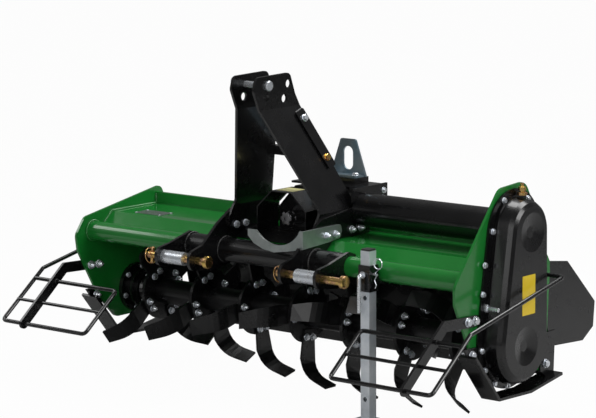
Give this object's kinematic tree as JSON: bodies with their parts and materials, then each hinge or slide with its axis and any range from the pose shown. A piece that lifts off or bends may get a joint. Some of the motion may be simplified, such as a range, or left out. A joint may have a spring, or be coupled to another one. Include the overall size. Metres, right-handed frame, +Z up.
{
  "type": "rotary tiller",
  "caption": "Three-point-hitch rotary tiller with side chain drive, bladed rotor under a hood, hinged tailgate, front tine guards and a parking stand.",
  "frame": {"origin": "on the ground under the middle of the machine", "axes": "+Z up; -Y towards the tractor; +X along the rotor towards the chain case"},
  "size_m": [1.5818, 0.938, 0.9196],
  "materials": {
    "green_paint": "gloss green paint",
    "black_paint": "semi-gloss black paint",
    "blade_steel": "satin black paint on forged steel",
    "shaft_steel": "bare steel",
    "zinc": "bright zinc plate",
    "rest_zinc": "grey zinc plate",
    "bracket_zinc": "blue-grey zinc plate",
    "stand_zinc": "galvanised square tube",
    "gold_zinc": "yellow zinc plate"
  },
  "bodies": {
    "frame": {"side_plate_left": "green_paint", "side_plate_right": "green_paint", "front_pipe": "green_paint", "rotor_hood": "green_paint", "rear_rail": "green_paint", "sleeve_left": "black_paint", "sleeve_centre": "black_paint", "sleeve_right": "black_paint", "headstock_left": "black_paint", "headstock_right": "black_paint", "hitch_ear_left": "black_paint", "hitch_ear_right": "black_paint", "mast_plate_left": "black_paint", "mast_plate_right": "black_paint", "mast_strip": "black_paint", "mast_cross_bar": "black_paint", "gearbox": "black_paint", "gearbox_tray": "black_paint", "shaft_shield": "black_paint", "axle_tube": "black_paint", "bracket_base": "black_paint", "stand_socket": "black_paint", "guard_left": "black_paint", "guard_right": "black_paint", "skid_left": "black_paint", "skid_right": "black_paint", "chain_case_plate": "black_paint", "chain_cover": "black_paint", "rotor_hub_left": "black_paint", "rotor_hub_right": "black_paint", "hinge_rod": "shaft_steel", "hitch_bush_left": "zinc", "hitch_bush_right": "zinc", "top_link_pin": "zinc", "driveshaft_rest": "rest_zinc", "tailgate_bracket": "bracket_zinc", "hitch_pin_left": "gold_zinc", "hitch_pin_right": "gold_zinc"},
    "rotor": {"rotor_tube": "blade_steel", "tine_ring_1": "blade_steel", "tine_ring_2": "blade_steel", "tine_ring_3": "blade_steel", "tine_ring_4": "blade_steel", "tine_ring_5": "blade_steel", "tine_ring_6": "blade_steel", "tine_ring_7": "blade_steel"},
    "input_shaft": {"input_shaft": "shaft_steel"},
    "tailgate": {"tailgate": "black_paint"},
    "tailgate_rod": {"tailgate_rod": "zinc"},
    "stand_leg": {"stand_leg": "stand_zinc"}
  },
  "joints": [
    {"name": "rotor_spin", "type": "hinge", "parent": "frame", "child": "rotor", "pos_m": [0, 0, 0.20868], "axis": [1, 0, 0], "continuous": true},
    {"name": "input_shaft_spin", "type": "hinge", "parent": "frame", "child": "input_shaft", "pos_m": [0, -0.06, 0.498], "axis": [0, 1, 0], "continuous": true},
    {"name": "tailgate_hinge", "type": "hinge", "parent": "frame", "child": "tailgate", "pos_m": [0, 0.183, 0.4], "axis": [1, 0, 0], "range_deg": [0, 50]},
    {"name": "tailgate_rod_swing", "type": "hinge", "parent": "tailgate", "child": "tailgate_rod", "pos_m": [-0.045, 0.262, 0.3], "axis": [1, 0, 0], "range_deg": [-40, 0]},
    {"name": "stand_slide", "type": "slide", "parent": "frame", "child": "stand_leg", "axis": [0, 0, 1], "range_m": [0, 0.28]}
  ],
  "couplings": [
    {"joint": "input_shaft_spin", "follows": "rotor_spin", "ratio": 2.6},
    {"joint": "tailgate_rod_swing", "follows": "tailgate_hinge", "ratio": -0.626}
  ]
}
